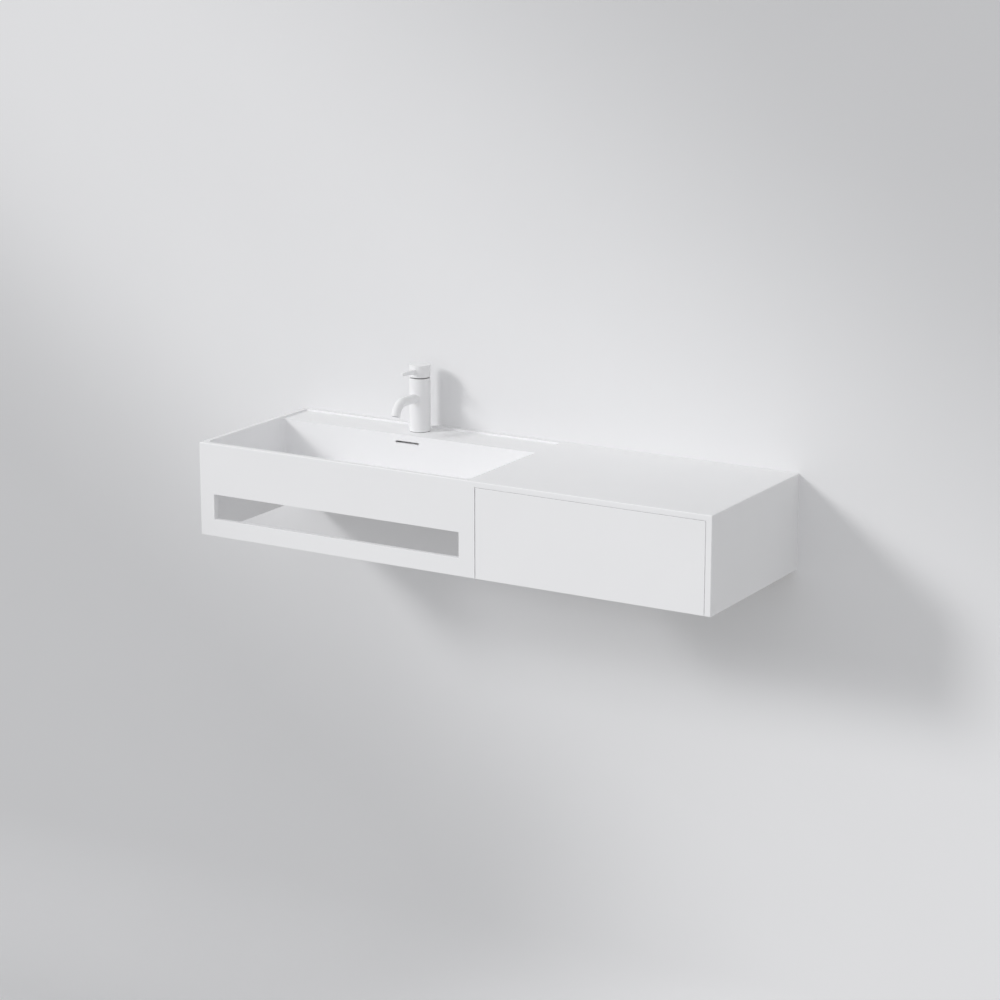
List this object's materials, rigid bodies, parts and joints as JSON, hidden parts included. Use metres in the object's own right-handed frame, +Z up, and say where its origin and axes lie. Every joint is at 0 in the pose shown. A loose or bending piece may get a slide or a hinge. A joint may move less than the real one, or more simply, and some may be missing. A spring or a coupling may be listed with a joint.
{
  "type": "wall-hung vanity unit",
  "caption": "Wall-hung vanity in seamless white solid surface: inset trough basin with stepped tap deck, towel slot in the front, a flush drawer and a single-lever mixer tap.",
  "frame": {"origin": "middle of the row of wall bolts, on the wall plane", "axes": "+X to the right along the wall as seen from the room, +Y into the wall, +Z up"},
  "size_m": [1.22, 0.395, 0.3466],
  "materials": {
    "solid_surface": "matt white mineral-filled resin, seamless",
    "tap_white": "matt white powder coat on brass",
    "drawer_board": "pale grey laminate on board",
    "rail_board": "sealed birch plywood",
    "zinc_steel": "bright zinc plate",
    "brass": "turned, unplated",
    "waste_chrome": "bright chrome",
    "duct_plastic": "moulded, light grey",
    "cartridge_plastic": "moulded, dark grey",
    "seal_rubber": "black rubber"
  },
  "bodies": {
    "unit": {"basin_top": "solid_surface", "towel_frame": "solid_surface", "left_side_panel": "solid_surface", "right_side_panel": "solid_surface", "divider_panel": "solid_surface", "back_rail_left": "rail_board", "back_rail_right": "rail_board", "lower_back_rail": "rail_board", "bolt_plates": "zinc_steel", "runner_outer_left": "zinc_steel", "runner_outer_right": "zinc_steel", "waste_body": "waste_chrome", "flange_seal": "seal_rubber", "overflow_duct": "duct_plastic", "nut_seal": "seal_rubber", "waste_nut": "brass", "plug_guide": "brass", "tap_column": "tap_white", "tap_spout": "tap_white", "aerator_ring": "waste_chrome", "aerator_insert": "cartridge_plastic", "tap_base_gasket": "seal_rubber", "tap_stud": "zinc_steel", "clamp_pad": "seal_rubber", "tap_clamp": "zinc_steel", "tap_nut": "zinc_steel", "mixer_cartridge": "cartridge_plastic", "cartridge_nut": "tap_white"},
    "drawer": {"drawer_front": "solid_surface", "drawer_box_front": "drawer_board", "drawer_side_left": "drawer_board", "drawer_side_right": "drawer_board", "drawer_back": "drawer_board", "drawer_base": "drawer_board", "front_screws": "zinc_steel", "runner_inner_left": "zinc_steel", "runner_inner_right": "zinc_steel"},
    "left_runner": {"runner_middle_left": "zinc_steel"},
    "right_runner": {"runner_middle_right": "zinc_steel"},
    "plug": {"waste_plug": "tap_white", "plug_seal": "seal_rubber"},
    "mixer": {"cartridge_spindle": "cartridge_plastic", "lever_pivot_pin": "zinc_steel"},
    "lever": {"lever_stem": "brass", "lever_cap": "tap_white", "lever_bar": "tap_white", "lever_grub_screw": "zinc_steel"}
  },
  "joints": [
    {"name": "drawer_slide", "type": "slide", "parent": "unit", "child": "drawer", "axis": [0, -1, 0], "range_m": [0, 0.3]},
    {"name": "left_runner_slide", "type": "slide", "parent": "unit", "child": "left_runner", "axis": [0, -1, 0], "range_m": [0, 0.15]},
    {"name": "right_runner_slide", "type": "slide", "parent": "unit", "child": "right_runner", "axis": [0, -1, 0], "range_m": [0, 0.15]},
    {"name": "plug_press", "type": "slide", "parent": "unit", "child": "plug", "axis": [0, 0, -1], "range_m": [0, 0.007], "stiffness_N_per_m": 800, "springref_m": -0.005},
    {"name": "lever_turn", "type": "hinge", "parent": "unit", "child": "mixer", "pos_m": [-0.27124, -0.048, 0.1512], "axis": [0, 0, 1], "range_deg": [-45, 45]},
    {"name": "lever_lift", "type": "hinge", "parent": "mixer", "child": "lever", "pos_m": [-0.27124, -0.048, 0.1512], "axis": [-1, 0, 0], "range_deg": [0, 20]}
  ],
  "couplings": [
    {"joint": "left_runner_slide", "follows": "drawer_slide", "ratio": 0.5},
    {"joint": "right_runner_slide", "follows": "drawer_slide", "ratio": 0.5}
  ]
}
